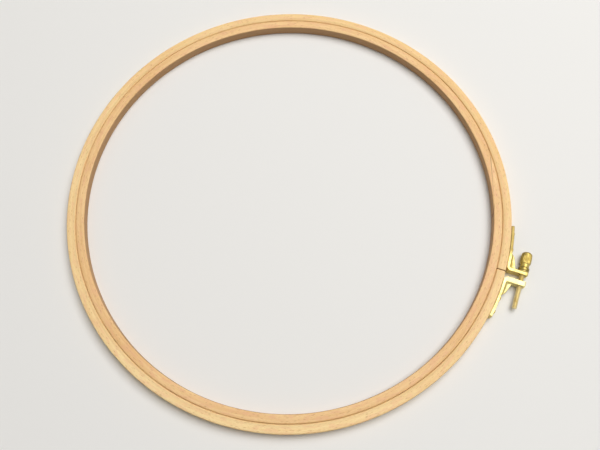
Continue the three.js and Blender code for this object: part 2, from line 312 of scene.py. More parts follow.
inner_beech = beech_finish(
    "beech_sanded_pinkish",
    pale="FAD49A",
    deep="E8B678",
    fleck="BE8450",
    blush="EDB488",
    groove=(1.7, 3.0),
    inside="A67C50",
)
outer_beech = beech_finish(
    "beech_sanded_yellowish",
    pale="FEDFA4",
    deep="F2C786",
    fleck="C28A4E",
    blush="F6C392",
    groove=(-0.3, -2.2),
    darkest=75.0,
)
# Sawn across the fibres, the wood is darker, and its grain is dots instead of lines
end_beech = beech_finish(
    "beech_sawn_end_grain",
    pale="DDB07A",
    deep="B98652",
    fleck="8E5E36",
    blush="CF9A68",
    end_grain=True,
)
ROLLING_LINES = (6.0, 0.12, 0.12)  # along the strip
TOOL_LINES = (0.6, 0.14, 0.6)  # round the screw
TUMBLED = (0.5, 0.5, 0.5)  # no lines, but small marks all over
# The tapped ear and the bend beside it are painted paler, a painted highlight. The flange under the
# knob is darker and browner for most of its length, and the knob's collar has gone brown. The
# knob's head is darker than its waist. The tacks' pressed heads are the smoothest.
tapped_brass = brass_finish(
    "brass_tapped_bracket",
    "DCCD92",
    "CDB873",
    0.48,
    ROLLING_LINES,
    # Painted highlight: the ear and the bend beside it are paler
    ("X", 24.0, 27.0, 0.0, 0.85, "E2D698"),
)
knob_bracket_brass = brass_finish(
    "brass_knob_bracket",
    "E0D08A",
    "CFB96C",
    0.48,
    ROLLING_LINES,
    # Darker and browner from the flange's end, fading out before the bend
    ("X", 17.0, 25.0, 0.85, 0.0, "84703F"),
)
washer_brass = brass_finish("brass_washer_stamped", "C0AE70", "A48F52", 0.5, TUMBLED)
tack_brass = brass_finish("brass_tack_headed", "E2CC80", "CCAE5C", 0.32, TUMBLED)
rod_brass = brass_finish("brass_rod_threaded", "EEE0B4", "DCC88C", 0.42, TOOL_LINES)
knob_brass = brass_finish(
    "brass_knob_turned",
    "C8B56E",
    "AC964E",
    0.34,
    TOOL_LINES,
    ("Y", 7.0, 8.0, 0.8, 0.0, "8A7840"),
    ("Y", 10.0, 10.8, 0.0, 0.55, "9C8340"),
)


# Ways of making a piece


def start_piece(name):
    """A piece with nothing in it yet."""
    piece = bpy.data.objects.new(name, bpy.data.meshes.new(name))
    bpy.context.scene.collection.objects.link(piece)
    return piece


def mesh_piece(name, points, faces, material):
    """A piece from its points in millimetres, from the middle of the hoops, and its faces."""
    piece = start_piece(name)
    places = [((x + HOOP_CENTRE_X) * MM, y * MM, z * MM) for x, y, z in points]
    piece.data.from_pydata(places, [], faces)
    piece.data.materials.append(material)
    return settle(piece)


def settle(piece, smooth_angle=35.0):
    """Turns what the piece's modifiers make into its plain mesh, with its faces outwards. Edges
    under smooth_angle degrees are shaded smooth."""
    graph = bpy.context.evaluated_depsgraph_get()
    mesh = bpy.data.meshes.new_from_object(
        piece.evaluated_get(graph), preserve_all_data_layers=True, depsgraph=graph
    )
    piece.modifiers.clear()
    piece.data = mesh
    mesh.name = piece.name
    shape = bmesh.new()
    shape.from_mesh(mesh)
    bmesh.ops.recalc_face_normals(shape, faces=shape.faces)
    shape.to_mesh(mesh)
    shape.free()
    mesh.shade_smooth()
    mesh.set_sharp_from_angle(angle=math.radians(smooth_angle))
    return piece


def new_tree(name, sizes):
    """A Geometry Nodes tree with a geometry in and out, and sizes as its named inputs."""
    tree = bpy.data.node_groups.new(name, "GeometryNodeTree")
    tree.interface.new_socket(name="Geometry", in_out="INPUT", socket_type="NodeSocketGeometry")
    tree.interface.new_socket(name="Geometry", in_out="OUTPUT", socket_type="NodeSocketGeometry")
    for size, value in sizes.items():
        kind = "NodeSocketInt" if isinstance(value, int) else "NodeSocketFloat"
        tree.interface.new_socket(name=size, in_out="INPUT", socket_type=kind)
    return tree, add_node(tree, "NodeGroupInput").outputs


def end_tree(tree, geometry, material):
    """Ends a tree as the export needs it: instances made real, then the finish set."""
    real = add_node(tree, "GeometryNodeRealizeInstances", geometry)
    painted = add_node(tree, "GeometryNodeSetMaterial", real, named={"Material": material})
    add_node(tree, "NodeGroupOutput", painted)


def use_tree(piece, tree, sizes):
    """Puts the tree on the piece, its sizes set by their sockets' identifiers."""
    modifier = piece.modifiers.new(tree.name, "NODES")
    modifier.node_group = tree
    for item in tree.interface.items_tree:
        if item.in_out == "INPUT" and item.name in sizes:
            modifier[item.identifier] = sizes[item.name]
    return piece


def turned(name, profile, columns, material, place=None):
    """A piece turned about Y from [radius, y] points, then put in place, or on the screw's axis."""
    place = place or Matrix.Translation((SCREW_X, 0, MIDDLE_HEIGHT))
    points, faces, rings = [], [], []
    for radius, y in profile:
        count = 1 if radius == 0 else columns
        rings.append(range(len(points), len(points) + count))
        for j in range(count):
            a = math.tau * j / columns
            points.append(place @ Vector((radius * math.sin(a), y, radius * math.cos(a))))
    pairs = list(zip(rings, rings[1:]))
    if len(rings[0]) > 1:
        pairs.append((rings[-1], rings[0]))
    for lower, upper in pairs:
        for j in range(columns):
            corners = ((lower, j), (lower, j + 1), (upper, j + 1), (upper, j))
            loop = [ring[i % len(ring)] for ring, i in corners]
            faces.append(tuple(dict.fromkeys(loop)))
    return mesh_piece(name, points, faces, material)


def cut_hole(piece, radius, y_from, y_to):
    """Cuts a hole for the screw through a piece, with its rims eased at 45 degrees."""
    beyond = 1.0
    wide = radius + beyond + HOLE_EASE
    profile = [(0.0, y_from - beyond), (wide, y_from - beyond), (radius, y_from + HOLE_EASE)]
    profile += [(radius, y_to - HOLE_EASE), (wide, y_to + beyond), (0.0, y_to + beyond)]
    cutter = turned("hole_cutter", profile, 48, piece.data.materials[0])
    cut = piece.modifiers.new("hole", "BOOLEAN")
    cut.operation = "DIFFERENCE"
    cut.solver = "EXACT"
    cut.object = cutter
    settle(piece, smooth_angle=30.0)
    bpy.data.objects.remove(cutter)


def give(piece, slot, body, *nodes):
    """The piece stands for these nodes and rides on the body. slot is not used."""
    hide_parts(*nodes)
    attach(piece, body)


# The hoops


def bent_strip(name, radii, opening, scarf_length, joint_angle, wood, end_wood):
    """A strip of beech bent into a hoop. Its ends meet at a slanted glued scarf or, where opening
    is more than 0, stay square and apart. Attribute strip holds each corner's place along, across
    and up the strip, and attribute joint its distance along the strip from the nearer end."""
    sizes = {
        "Inside radius": radii[0] * MM,
        "Outside radius": radii[1] * MM,
        "Height": HOOP_HEIGHT * MM,
        "Edge radius": EDGE_RADIUS * MM,
        "Opening": opening * MM,
        "Scarf length": scarf_length * MM,
        "Joint angle": math.radians(joint_angle),
        "Glue groove": GLUE_GROOVE * MM if scarf_length else 0.0,
        "Sanding": SANDING,
        "Sections": HOOP_SECTIONS,
    }
    tree, size = new_tree(name + "_tree", sizes)

    # A straight path with share running from 0 to 1, and the strip's rounded section
    line = add_node(tree, "GeometryNodeCurvePrimitiveLine", named={"End": (1, 0, 0)})
    count = add_node(tree, MATH, size["Sections"], 1.0, operation="ADD")
    path = add_node(tree, "GeometryNodeResampleCurve", line, named={"Count": count})
    share = add_node(tree, "GeometryNodeSplineParameter").outputs["Factor"]
    path = add_node(tree, STORE, path, named={"Name": "share", "Value": share}, data_type="FLOAT")
    wall = add_node(tree, MATH, size["Outside radius"], size["Inside radius"], operation="SUBTRACT")
    named = {"Width": wall, "Height": size["Height"]}
    section = add_node(tree, "GeometryNodeCurvePrimitiveQuadrilateral", named=named)
    named = {"Count": EDGE_STEPS, "Radius": size["Edge radius"]}
    section = add_node(tree, "GeometryNodeFilletCurve", section, named=named, mode="POLY")
    named = {"Name": "section", "Value": add_node(tree, "GeometryNodeInputPosition")}
    section = add_node(tree, STORE, section, named=named, data_type="FLOAT_VECTOR")
    named = {"Fill Caps": opening > 0}
    shape = add_node(tree, "GeometryNodeCurveToMesh", path, section, named=named)

    # Each point's angle round the hoop. The sections are slanted at the scarf and turn square away
    # from it.
    share = add_node(tree, "GeometryNodeInputNamedAttribute", "share", data_type="FLOAT")
    section = add_node(tree, "GeometryNodeInputNamedAttribute", "section", data_type="FLOAT_VECTOR")
    section = add_node(tree, SEPARATE, section).outputs
    middle = add_node(tree, MATH, size["Inside radius"], size["Outside radius"], operation="ADD")
    middle = add_node(tree, MATH, middle, 0.5, operation="MULTIPLY")
    radius = add_node(tree, MATH, middle, section["X"], operation="ADD")
    half_opening = add_node(tree, MATH, size["Opening"], 0.5, operation="MULTIPLY")
    end_angle = add_node(tree, MATH, half_opening, radius, operation="DIVIDE")
    end_angle = add_node(tree, MATH, end_angle, operation="ARCSINE")
    from_end = add_node(tree, MATH, 1.0, share, operation="SUBTRACT")
    to_end = add_node(tree, MATH, share, from_end, operation="MINIMUM")
    slanted = add_node(tree, RANGE, to_end, 0.0, SCARF_SPREAD, 1.0, 0.0)
    slant = add_node(tree, MATH, section["X"], wall, operation="DIVIDE")
    slant = add_node(tree, MATH, slant, slanted, operation="MULTIPLY")
    slant = add_node(tree, MATH, slant, size["Scarf length"], operation="MULTIPLY")
    slant = add_node(tree, MATH, slant, middle, operation="DIVIDE")
    start = add_node(tree, MATH, size["Joint angle"], slant, operation="ADD")
    start = add_node(tree, MATH, start, end_angle, operation="ADD")
    sweep = add_node(tree, MATH, end_angle, -2.0, math.tau, operation="MULTIPLY_ADD")
    angle = add_node(tree, MATH, share, sweep, start, operation="MULTIPLY_ADD")
    cosine = add_node(tree, MATH, angle, operation="COSINE")
    sine = add_node(tree, MATH, angle, operation="SINE")

    # A fine groove at the glue line, and a little taken off in places by hand sanding. The noise is
    # read on the bent ring, so it has no step at the joint.
    sections_off = add_node(tree, MATH, to_end, size["Sections"], operation="MULTIPLY")
    groove = add_node(tree, MATH, sections_off, 0.5, operation="LESS_THAN")
    groove = add_node(tree, MATH, groove, size["Glue groove"], operation="MULTIPLY")
    ring_x = add_node(tree, MATH, radius, cosine, operation="MULTIPLY")
    ring_y = add_node(tree, MATH, radius, sine, operation="MULTIPLY")
    ring_place = add_node(tree, COMBINE, ring_x, ring_y, section["Y"])
    named = {"Vector": ring_place, "Scale": 1 / (SANDED_PATCH * MM), "Detail": 2.0}
    sanded = add_node(tree, NOISE, named=named).outputs["Color"]
    sanded = add_node(tree, SEPARATE, sanded).outputs
    moved = []
    for axis in ("X", "Y"):
        off = add_node(tree, MATH, sanded[axis], size["Sanding"], operation="MULTIPLY")
        keep = add_node(tree, MATH, 1.0, off, operation="SUBTRACT")
        kept = add_node(tree, MATH, section[axis], keep, operation="MULTIPLY")
        inwards = add_node(tree, MATH, section[axis], operation="SIGN")
        inwards = add_node(tree, MATH, inwards, groove, operation="MULTIPLY")
        moved.append(add_node(tree, MATH, kept, inwards, operation="SUBTRACT"))
    final_radius = add_node(tree, MATH, middle, moved[0], operation="ADD")
    x = add_node(tree, MATH, final_radius, cosine, HOOP_CENTRE_X * MM, operation="MULTIPLY_ADD")
    y = add_node(tree, MATH, final_radius, sine, operation="MULTIPLY")
    z = add_node(tree, MATH, size["Height"], 0.5, moved[1], operation="MULTIPLY_ADD")
    place = add_node(tree, COMBINE, x, y, z)

    along = add_node(tree, MATH, middle, angle, operation="MULTIPLY")
    strip = add_node(tree, COMBINE, along, section["X"], section["Y"])
    length = add_node(tree, MATH, middle, math.tau, operation="MULTIPLY")
    joint = add_node(tree, MATH, to_end, length, operation="MULTIPLY") if scarf_length else 1.0
    for attribute, value, kind in (("strip", strip, "FLOAT_VECTOR"), ("joint", joint, "FLOAT")):
        named = {"Name": attribute, "Value": value}
        shape = add_node(tree, STORE, shape, named=named, data_type=kind, domain="CORNER")
    shape = add_node(tree, "GeometryNodeSetPosition", shape, named={"Position": place})
    for spent in ("share", "section"):
        shape = add_node(tree, "GeometryNodeRemoveAttribute", shape, named={"Name": spent})
    shape = add_node(tree, "GeometryNodeMergeByDistance", shape, named={"Distance": 0.001 * MM})
    shape = add_node(tree, "GeometryNodeRealizeInstances", shape)
    shape = add_node(tree, "GeometryNodeSetMaterial", shape, named={"Material": wood})
    # The sawn ends are the only faces with more than four corners
    corners = add_node(tree, "GeometryNodeInputMeshFaceNeighbors").outputs["Vertex Count"]
    is_end = add_node(tree, MATH, corners, 4.5, operation="GREATER_THAN")
    named = {"Selection": is_end, "Material": end_wood}
    shape = add_node(tree, "GeometryNodeSetMaterial", shape, named=named)
    add_node(tree, "NodeGroupOutput", shape)

    piece = use_tree(start_piece(name), tree, sizes)
    if opening:
        rounding = piece.modifiers.new("sanded_ends", "BEVEL")
        rounding.width = SPLIT_ROUNDING * MM
        rounding.segments = 3
        rounding.limit_method = "ANGLE"
        rounding.angle_limit = math.radians(60)
    return settle(piece)


inner = bent_strip(
    "inner_hoop_strip", INNER_HOOP, 0.0, SCARF_LENGTH, SCARF_MIDDLE, inner_beech, end_beech
)
give(inner, "beech_inner", "inner_ring", "inner_hoop")

outer = bent_strip("outer_hoop_strip", OUTER_HOOP, SPLIT_GAP, 0.0, 0.0, outer_beech, end_beech)
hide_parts("outer_hoop_tapped_side", "outer_hoop_knob_side")
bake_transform(outer)


# The brackets


def corner_steps(radius):
    """Distances from a rounded corner's tip, close together where the corner turns fastest."""
    return [radius * (1 - math.cos(math.pi / 2 * i / 6)) for i in range(7)]


def face_path(side, flange_radius, bend_radius, ear_face, corner):
    """Places along one long face of a bracket, seen from above: along the flange, round the bend
    and out to the ear's tip. Both faces of a bracket have the same number of places."""
    bend_y = ear_face + bend_radius
    bend_x = math.sqrt(flange_radius**2 - bend_y**2) + bend_radius
    root = math.asin(bend_y / flange_radius) * OUTER_HOOP[1]
    along_flange = [FLANGE_LENGTH - c for c in corner_steps(FLANGE_CORNER)]
    last = along_flange[-1]
    steps = 48
    along_flange += [last + (root - last) * i / steps for i in range(1, steps)]
    path = []
    for distance in along_flange:
        a = distance / OUTER_HOOP[1]
        path.append(Vector((flange_radius * math.cos(a), flange_radius * math.sin(a))))
    steps = 12
    for i in range(steps + 1):
        a = math.pi * (1 + 0.5 * i / steps)
        x, y = bend_x + bend_radius * math.cos(a), bend_y + bend_radius * math.sin(a)
        path.append(Vector((x, y)))
    tip = [EAR_TIP - c for c in reversed(corner_steps(corner))]
    steps = 28
    for x in [bend_x + (tip[0] - bend_x) * i / steps for i in range(1, steps)] + tip:
        path.append(Vector((x, ear_face)))
    return [Vector((x, side * y)) for x, y in path]


def bracket_loop(low):
    """The outline of a bracket's section as [from the outside, from the inside, up], its edges
    rounded. One of the two distances is None, for the face that the point isn't on. low is how far
    the section reaches down from its middle, and up."""
    crest = RIB_HALF_WIDTH - RIB_LIP
    ups = [0.0, crest] + [crest + RIB_LIP * math.sin(math.pi / 2 * i / 5) for i in range(1, 6)]
    ups += [RIB_HALF_WIDTH + (RIB_TOP - RIB_HALF_WIDTH) * (i / 9) ** 2 for i in range(1, 10)]
    squeeze = (low - STRIP_EDGE) / (STRIP_HEIGHT / 2 - STRIP_EDGE)
    ups = [up * squeeze for up in ups] + [low - STRIP_EDGE]
    flat = [-up for up in reversed(ups[1:])] + ups
    edge = [STRIP_EDGE * (1 - math.cos(math.pi / 2 * i / 4)) for i in range(5)]
    edge = list(zip(edge, reversed(edge)))[1:]
    return (
        [(0.0, None, up) for up in flat]
        + [(a, None, low - b) for a, b in edge]
        + [(None, a, low - b) for a, b in reversed(edge)]
        + [(None, 0.0, up) for up in reversed(flat)]
        + [(None, a, b - low) for a, b in edge]
        + [(a, None, b - low) for a, b in reversed(edge)]
    )


def rib_crest(lengths, side, ear):
    """Where the rib's crest is at each place of the strip: up a short blunt end on the flange, then
    straight to the ear. None where there is no rib."""
    knots = []
    reach = ear[0] + RIB_REACH
    for y, height in ((reach + RIB_END_SLOPE, 0.0), (reach, RIB_END_HEIGHT)):
        point = Vector((math.sqrt((FLANGE_OUTSIDE + height) ** 2 - y**2), side * y))
        knots.append((FLANGE_LENGTH - math.asin(y / FLANGE_OUTSIDE) * OUTER_HOOP[1], point))
    knots.append((lengths[-1] - (EAR_TIP - RIB_END_X), Vector((RIB_END_X, side * ear[1]))))
    crest = [None] * len(lengths)
    for (low, start), (high, stop) in zip(knots, knots[1:]):
        for i, length in enumerate(lengths):
            if low <= length <= high:
                crest[i] = start.lerp(stop, (length - low) / (high - low))
    for _ in range(3):
        eased = list(crest)
        for i in range(1, len(crest) - 1):
            if crest[i - 1] and crest[i] and crest[i + 1]:
                eased[i] = (crest[i - 1] + 2 * crest[i] + crest[i + 1]) / 4
        crest = eased
    return crest


def rib_height(lift, up):
    """How far the rib stands out at a height above or below its middle: lift on its crest, which
    has rounded lips, then down a hollow side that meets the strip at RIB_TOP."""
    lip = min(RIB_LIP, lift / 2)
    beyond = abs(up) - RIB_HALF_WIDTH
    if beyond > 0:
        share = min(beyond / (RIB_TOP - RIB_HALF_WIDTH), 1.0)
        return (lift - lip) * (1 - share ** (1 / 3))
    return lift - lip + math.sqrt(lip**2 - max(beyond + lip, 0.0) ** 2)


def bracket(name, side, ear, hole_radius, finish, body, node):
    """A brass bracket: a flange on the hoop, an ear for the screw and a rib across the corner.
    Attribute strip holds each point's place along, through and up the strip."""
    inside = face_path(side, FLANGE_INSIDE, BEND_RADIUS + STRIP_THICKNESS, ear[0], EAR_CORNER)
    outside = face_path(side, FLANGE_OUTSIDE, BEND_RADIUS, ear[1], EAR_CORNER)
    middle = [(a + b) / 2 for a, b in zip(inside, outside)]
    lengths = [0.0]
    for a, b in zip(middle, middle[1:]):
        lengths.append(lengths[-1] + (b - a).length)
    crest = rib_crest(lengths, side, ear)

    points = []
    for i, (inner_point, outer_point) in enumerate(zip(inside, outside)):
        outwards = (outer_point - inner_point).normalized()
        on_flange = min(max((outer_point.y * side - ear[1]) / BEND_RADIUS, 0.0), 1.0)
        seated = inner_point - outwards * FLANGE_SEAT * on_flange
        low = STRIP_HEIGHT / 2
        from_tip = lengths[-1] - lengths[i]
        for distance, corner in ((lengths[i], FLANGE_CORNER), (from_tip, EAR_CORNER)):
            if distance < corner:
                low = STRIP_HEIGHT / 2 - corner + math.sqrt(corner**2 - (corner - distance) ** 2)
        lift = crest[i] - outer_point if crest[i] else Vector((0, 0))
        for from_outside, from_inside, up in bracket_loop(low):
            if from_outside is None:
                point = seated + outwards * from_inside
            else:
                point = outer_point - outwards * from_outside
                if lift.length > 0.01:
                    point = point + lift.normalized() * rib_height(lift.length, up)
            points.append((point.x, point.y, MIDDLE_HEIGHT + up))
    size = len(points) // len(inside)
    faces = []
    for i in range(0, len(points) - size, size):
        for j in range(size):
            k = (j + 1) % size
            faces.append((i + j, i + k, i + size + k, i + size + j))
    faces.append(tuple(range(size)))
    faces.append(tuple(range(len(points) - size, len(points))))
    piece = mesh_piece(name, points, faces, finish)
    near, far = sorted(side * face for face in ear)
    cut_hole(piece, hole_radius, near, far)

    mesh = piece.data
    co = np.empty(len(mesh.vertices) * 3)
    mesh.vertices.foreach_get("co", co)
    co = co.reshape(-1, 3) / MM - (HOOP_CENTRE_X, 0, 0)
    line = np.array(middle)
    away = np.sqrt(((co[:, None, :2] - line[None]) ** 2).sum(2))
    along = np.array(lengths)[away.argmin(1)]
    layer = mesh.attributes.new("strip", "FLOAT_VECTOR", "POINT")
    layer.data.foreach_set("vector", (np.stack([along, away.min(1), co[:, 2]], 1) * MM).ravel())
    give(piece, "brass_strip", body, node)


bracket(
    "tapped_side_strip",
    -1,
    TAPPED_EAR,
    TAPPED_HOLE,
    tapped_brass,
    "tapped_side_half",
    "tapped_side_bracket",
)
bracket(
    "knob_side_strip",
    1,
    KNOB_EAR,
    PLAIN_HOLE,
    knob_bracket_brass,
    "knob_side_half",
    "knob_side_bracket",
)


# The tacks


def tack_row(name, side, ear, body, *nodes):
    """The tacks of one bracket: one domed tack, repeated along the flange."""
    head = TACK_HEAD_RADIUS
    tip = TACK_TIP - TACK_SEAT
    profile = [(0.0, tip), (TACK_SHANK_RADIUS, tip + TACK_POINT), (TACK_SHANK_RADIUS, 0.0)]
    profile += [(head - TACK_EASE[0], 0.0), (head, TACK_EASE[1]), (head, TACK_RIM)]
    rise = TACK_HEAD_HEIGHT - TACK_RIM
    steps = 6
    for i in range(1, steps + 1):
        a = math.pi / 2 * i / steps
        profile.append((head * math.cos(a) if i < steps else 0.0, TACK_RIM + rise * math.sin(a)))
    outwards = Matrix.Rotation(math.radians(-90), 4, "Z")
    to_origin = Matrix.Translation((-HOOP_CENTRE_X, 0, 0))
    piece = turned(name, profile, 28, tack_brass, to_origin @ outwards)

    sizes = {
        "First": (ear[0] + FIRST_TACK_FROM_EAR) * MM,
        "Second": SECOND_TACK * MM,
        "Hoop radius": OUTER_HOOP[1] * MM,
        "Seat radius": TACK_SEAT * MM,
        "Side": float(side),
    }
    tree, size = new_tree(name + "_tree", sizes)
    spots = add_node(tree, "GeometryNodeMeshLine", named={"Count": len(nodes)})
    number = add_node(tree, "GeometryNodeInputIndex")
    step = add_node(tree, MATH, size["Second"], size["First"], operation="SUBTRACT")
    distance = add_node(tree, MATH, number, step, size["First"], operation="MULTIPLY_ADD")
    angle = add_node(tree, MATH, distance, size["Hoop radius"], operation="DIVIDE")
    angle = add_node(tree, MATH, angle, size["Side"], operation="MULTIPLY")
    cosine = add_node(tree, MATH, angle, operation="COSINE")
    sine = add_node(tree, MATH, angle, operation="SINE")
    seat = size["Seat radius"]
    x = add_node(tree, MATH, cosine, seat, HOOP_CENTRE_X * MM, operation="MULTIPLY_ADD")
    y = add_node(tree, MATH, sine, seat, operation="MULTIPLY")
    place = add_node(tree, COMBINE, x, y, MIDDLE_HEIGHT * MM)
    spots = add_node(tree, "GeometryNodeSetPosition", spots, named={"Position": place})
    turn = add_node(tree, COMBINE, 0.0, 0.0, angle)
    named = {"Instance": size["Geometry"], "Rotation": turn}
    tacks = add_node(tree, "GeometryNodeInstanceOnPoints", spots, named=named)
    end_tree(tree, tacks, tack_brass)
    settle(use_tree(piece, tree, sizes))
    give(piece, "brass_tack", body, *nodes)


tack_row(
    "tapped_side_tacks",
    -1,
    TAPPED_EAR,
    "tapped_side_half",
    "tapped_side_tack_1",
    "tapped_side_tack_2",
)
tack_row(
    "knob_side_tacks",
    1,
    KNOB_EAR,
    "knob_side_half",
    "knob_side_tack_1",
    "knob_side_tack_2",
)


# The washer


def rounded_ring(inside, outside, low, high, ease):
    """The profile of a ring with eased edges, as [radius, y] points."""
    profile = []
    for radius, y, start in (
        (outside - ease, low + ease, -90),
        (outside - ease, high - ease, 0),
        (inside + ease, high - ease, 90),
        (inside + ease, low + ease, 180),
    ):
        for i in range(4):
            a = math.radians(start + 30 * i)
            profile.append((radius + ease * math.cos(a), y + ease * math.sin(a)))
    return profile


washer_profile = rounded_ring(WASHER_HOLE, WASHER_RADIUS, WASHER_FROM, WASHER_TO, WASHER_EASE)
washer = turned("clamp_washer", washer_profile, 64, washer_brass)
give(washer, "brass_strip", "screw_washer", "washer")


# The screw: a threaded rod and the ridged thumb knob fixed on it


def threaded_rod():
    """A rod whose thread is a helical surface. Each row of points keeps its place in the thread's
    section, and climbs by one pitch in a turn; past the ends the rows fold onto the end faces."""
    sizes = {
        "From": ROD_TAIL * MM,
        "To": ROD_TOP * MM,
        "Radius": ROD_RADIUS * MM,
        "Pitch": THREAD_PITCH * MM,
        "Depth": THREAD_DEPTH * MM,
        "Chamfer": ROD_CHAMFER * MM,
        "Rows a turn": 8,
        "Columns": 40,
    }
    tree, size = new_tree("threaded_rod_tree", sizes)
    turns = math.ceil((ROD_TOP - ROD_TAIL) / THREAD_PITCH) + 2
    wide = add_node(tree, MATH, size["Columns"], 1.0, operation="ADD")
    named = {"Vertices X": turns * sizes["Rows a turn"] + 1, "Vertices Y": wide}
    sheet = add_node(tree, "GeometryNodeMeshGrid", named=named)
    # Row and column of each point, from its number in the grid. What is added to the row keeps a
    # whole number from being taken for a little less.
    number = add_node(tree, "GeometryNodeInputIndex")
    row = add_node(tree, MATH, number, wide, operation="DIVIDE")
    row = add_node(tree, MATH, row, 0.0001, operation="ADD")
    row = add_node(tree, MATH, row, operation="FLOOR")
    before = add_node(tree, MATH, row, wide, operation="MULTIPLY")
    column = add_node(tree, MATH, number, before, operation="SUBTRACT")
    turn = add_node(tree, MATH, column, size["Columns"], operation="DIVIDE")
    climbed = add_node(tree, MATH, row, size["Rows a turn"], operation="DIVIDE")
    height = add_node(tree, MATH, climbed, turn, operation="ADD")
    height = add_node(tree, MATH, height, 1.0, operation="SUBTRACT")
    y = add_node(tree, MATH, height, size["Pitch"], size["From"], operation="MULTIPLY_ADD")
    y = add_node(tree, MATH, y, size["From"], operation="MAXIMUM")
    y = add_node(tree, MATH, y, size["To"], operation="MINIMUM")
    # The thread's section: a rounded ridge and a rounded root, from the row alone
    phase = add_node(tree, MATH, climbed, math.tau, operation="MULTIPLY")
    wave = add_node(tree, MATH, phase, operation="COSINE")
    dip = add_node(tree, MATH, wave, -0.5, 0.5, operation="MULTIPLY_ADD")
    thread = add_node(tree, MATH, dip, size["Depth"], operation="MULTIPLY")
    thread = add_node(tree, MATH, size["Radius"], thread, operation="SUBTRACT")
    # The chamfers at both ends
    low_end = add_node(tree, MATH, y, size["From"], operation="SUBTRACT")
    high_end = add_node(tree, MATH, size["To"], y, operation="SUBTRACT")
    to_end = add_node(tree, MATH, low_end, high_end, operation="MINIMUM")
    end_radius = add_node(tree, MATH, size["Radius"], size["Chamfer"], operation="SUBTRACT")
    cone = add_node(tree, MATH, end_radius, to_end, operation="ADD")
    radius = add_node(tree, MATH, thread, cone, operation="MINIMUM")
    angle = add_node(tree, MATH, turn, math.tau, operation="MULTIPLY")
    sine = add_node(tree, MATH, angle, operation="SINE")
    cosine = add_node(tree, MATH, angle, operation="COSINE")
    axis_x, _, axis_z = SCREW_AXIS
    x = add_node(tree, MATH, sine, radius, axis_x, operation="MULTIPLY_ADD")
    z = add_node(tree, MATH, cosine, radius, axis_z, operation="MULTIPLY_ADD")
    place = add_node(tree, COMBINE, x, y, z)
    sheet = add_node(tree, "GeometryNodeSetPosition", sheet, named={"Position": place})
    # End faces, welded to the last rings
    joined = add_node(tree, "GeometryNodeJoinGeometry", sheet)
    for end in ("From", "To"):
        named = {"Vertices": size["Columns"], "Radius": end_radius}
        cap = add_node(tree, "GeometryNodeMeshCircle", named=named, fill_type="TRIANGLE_FAN")
        spot = add_node(tree, COMBINE, axis_x, size[end], axis_z)
        named = {"Translation": spot, "Rotation": (math.radians(90), 0, 0)}
        cap = add_node(tree, "GeometryNodeTransform", cap, named=named)
        tree.links.new(cap.outputs[0], joined.inputs[0])
    welded = add_node(tree, "GeometryNodeMergeByDistance", joined, named={"Distance": 0.004 * MM})
    end_tree(tree, welded, rod_brass)
    piece = settle(use_tree(start_piece("clamp_rod"), tree, sizes), smooth_angle=50.0)
    give(piece, "brass_turned", "clamp_screw", "threaded_rod")


threaded_rod()


def knob_profile():
    """Bore, collar with rounded edges, a hollow waist, a slightly tapered head and a domed end."""
    bore, bore_end = ROD_RADIUS + BORE_GAP, ROD_TOP + BORE_SPARE
    profile = [(0.0, bore_end), (bore, bore_end)]
    profile += [(bore, KNOB_BASE + BORE_EASE), (bore + BORE_EASE, KNOB_BASE)]
    ease = COLLAR_EASE
    for middle, first in ((KNOB_BASE + ease, -90), (COLLAR_TOP - ease, 0)):
        for i in range(5):
            a = math.radians(first + 22.5 * i)
            profile.append((COLLAR_RADIUS - ease + ease * math.cos(a), middle + ease * math.sin(a)))
    # The waist is a hollow curve, lowest in its middle
    waist_from, low, rows = COLLAR_TOP + HEAD_STEP, KNOB_RADIUS - WAIST_DEPTH, 12
    for i in range(rows + 1):
        from_middle = abs(2 * i / rows - 1)
        y = waist_from + (HEAD_FROM - waist_from) * (1 - math.cos(math.pi * i / rows)) / 2
        profile.append((low + (WAIST_DEPTH - WAIST_STEP) * from_middle**3, y))
    # The head swells a little at first, then tapers to the dome
    head_from, rows = HEAD_FROM + HEAD_STEP, 14
    for i in range(rows + 1):
        share = i / rows
        narrower = HEAD_SWELL * (1 - min(share / SWELL_SHARE, 1.0)) ** 2
        narrower += HEAD_TAPER * (max(share - TAPER_FROM, 0.0) / (1 - TAPER_FROM)) ** 2
        profile.append((KNOB_RADIUS - narrower, head_from + (HEAD_TO - head_from) * share))
    edge, rise, rows = KNOB_RADIUS - HEAD_TAPER, KNOB_TOP - HEAD_TO, 10
    for i in range(1, rows + 1):
        a = math.pi / 2 * i / rows
        profile.append((edge * math.cos(a) if i < rows else 0.0, HEAD_TO + rise * math.sin(a)))
    return profile


